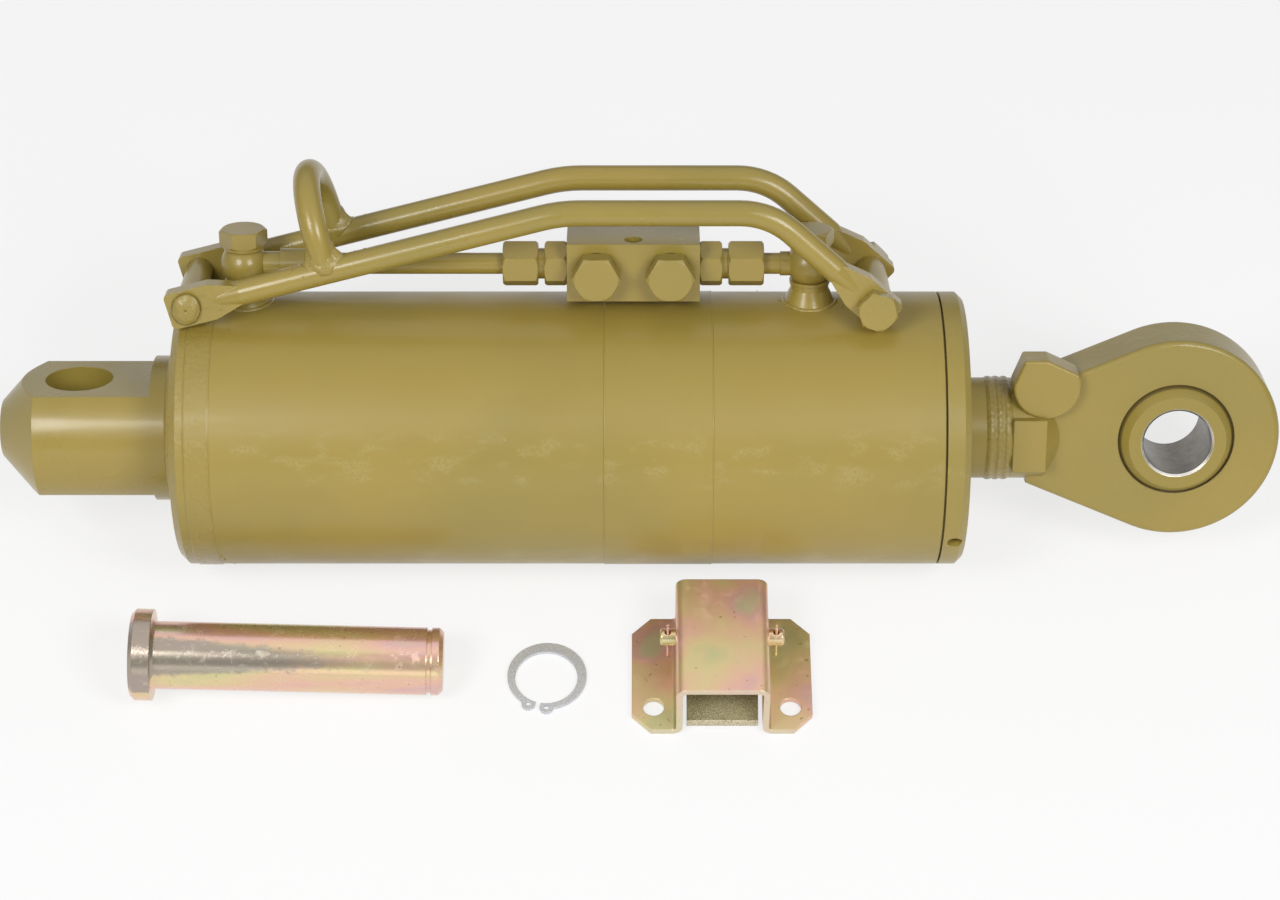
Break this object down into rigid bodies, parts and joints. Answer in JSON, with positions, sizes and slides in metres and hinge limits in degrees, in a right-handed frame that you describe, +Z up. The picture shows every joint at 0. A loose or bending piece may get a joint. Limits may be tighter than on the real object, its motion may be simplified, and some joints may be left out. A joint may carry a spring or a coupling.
{
  "type": "tractor top link",
  "caption": "Hydraulic three-point top link with a flat-sided tractor end, swivel ball eye, lock valve under a bent rod guard, and its hitch pin, circlip and catch bracket.",
  "frame": {"origin": "centre of the tractor-end bore, on the link's long axis", "axes": "+X along the link from the tractor-end bore to the swivel ball, +Z up from the floor the link lies on; the link lies rolled back about X, so the tractor-end bore's axis leans 29 degrees from +Z towards +Y"},
  "size_m": [0.6065, 0.2176, 0.186],
  "materials": {
    "olive_paint": "semi-gloss olive enamel",
    "yellow_zinc": "yellow-passivated zinc plate",
    "bare_steel": "machined, bare",
    "spring_steel": "drawn spring wire",
    "seal": "moulded",
    "dark_steel": "olive-passivated zinc plate",
    "guide_bronze": "machined",
    "polished_rod": "hard chrome"
  },
  "bodies": {
    "barrel": {"banjo_base": "olive_paint", "banjo_bolt_base": "olive_paint", "banjo_bolt_rod": "olive_paint", "banjo_rod": "olive_paint", "banjo_washers_base": "olive_paint", "banjo_washers_rod": "olive_paint", "barrel_tube": "olive_paint", "base_cap": "olive_paint", "base_weld_ring": "olive_paint", "check_plug_base": "olive_paint", "check_plug_rod": "olive_paint", "check_plug_seals": "seal", "check_spring_base": "spring_steel", "check_spring_rod": "spring_steel", "cutting_rings": "bare_steel", "gland_nut": "olive_paint", "gland_o_ring": "seal", "guard_bolt": "olive_paint", "guard_bolt_nut": "olive_paint", "guard_cross_bar": "olive_paint", "guard_hose_loop": "olive_paint", "guard_rod_back": "olive_paint", "guard_rod_front": "olive_paint", "guard_spacer": "olive_paint", "guide_bush": "guide_bronze", "pipe_base": "olive_paint", "pipe_rod": "olive_paint", "port_boss_base": "olive_paint", "port_boss_rod": "olive_paint", "rod_seal": "seal", "rod_wiper": "seal", "tractor_end_block": "olive_paint", "tractor_end_weld": "olive_paint", "union_nut_base": "olive_paint", "union_nut_rod": "olive_paint", "valve_adapter_base": "olive_paint", "valve_adapter_rod": "olive_paint", "valve_block": "olive_paint"},
    "piston": {"piston": "bare_steel", "piston_seal": "seal", "piston_guide_rings": "guide_bronze"},
    "rod": {"piston_rod": "polished_rod", "piston_nut": "bare_steel", "eye_weld_ring": "olive_paint", "swivel_eye": "olive_paint"},
    "ball": {"swivel_ball": "bare_steel"},
    "poppet_base": {"check_poppet_base": "bare_steel"},
    "poppet_rod": {"check_poppet_rod": "bare_steel"},
    "pilot": {"pilot_piston": "bare_steel"},
    "hitch_pin": {"hitch_pin": "yellow_zinc"},
    "circlip": {"circlip": "bare_steel"},
    "catch": {"catch_bracket": "yellow_zinc", "latch_pivot_pin": "yellow_zinc", "split_pins": "yellow_zinc", "latch_spring": "spring_steel"},
    "latch": {"latch_flap": "dark_steel"}
  },
  "joints": [
    {"name": "rod_slide", "type": "slide", "parent": "barrel", "child": "piston", "axis": [1, 0, 0], "range_m": [0, 0.225]},
    {"name": "rod_turn", "type": "hinge", "parent": "piston", "child": "rod", "pos_m": [0, 0, 0], "axis": [1, 0, 0], "continuous": true},
    {"name": "ball_swivel", "type": "hinge", "parent": "rod", "child": "ball", "pos_m": [0.5205, 0, 0], "axis": [0, 0.4848, 0.8746], "range_deg": [-12, 12]},
    {"name": "check_base_lift", "type": "slide", "parent": "barrel", "child": "poppet_base", "axis": [0, -0.8746, 0.4848], "range_m": [0, 0.0025], "stiffness_N_per_m": 400, "springref_m": -0.002, "deforming": ["check_spring_base"]},
    {"name": "check_rod_lift", "type": "slide", "parent": "barrel", "child": "poppet_rod", "axis": [0, -0.8746, 0.4848], "range_m": [0, 0.0025], "stiffness_N_per_m": 400, "springref_m": -0.002, "deforming": ["check_spring_rod"]},
    {"name": "pilot_shift", "type": "slide", "parent": "barrel", "child": "pilot", "axis": [1, 0, 0], "range_m": [-0.002, 0.002]},
    {"name": "hitch_pin_lift", "type": "slide", "parent": "barrel", "child": "hitch_pin", "axis": [0, 0, 1], "range_m": [0, 0.15]},
    {"name": "circlip_lift", "type": "slide", "parent": "barrel", "child": "circlip", "axis": [0, 0, 1], "range_m": [0, 0.15]},
    {"name": "catch_lift", "type": "slide", "parent": "barrel", "child": "catch", "axis": [0, 0, 1], "range_m": [0, 0.15]},
    {"name": "latch_swing", "type": "hinge", "parent": "catch", "child": "latch", "pos_m": [0.305, -0.093, -0.042], "axis": [-1, 0, 0], "range_deg": [0, 30], "stiffness_Nm_per_rad": 0.5, "springref_deg": -34.38, "deforming": ["latch_spring"]}
  ]
}
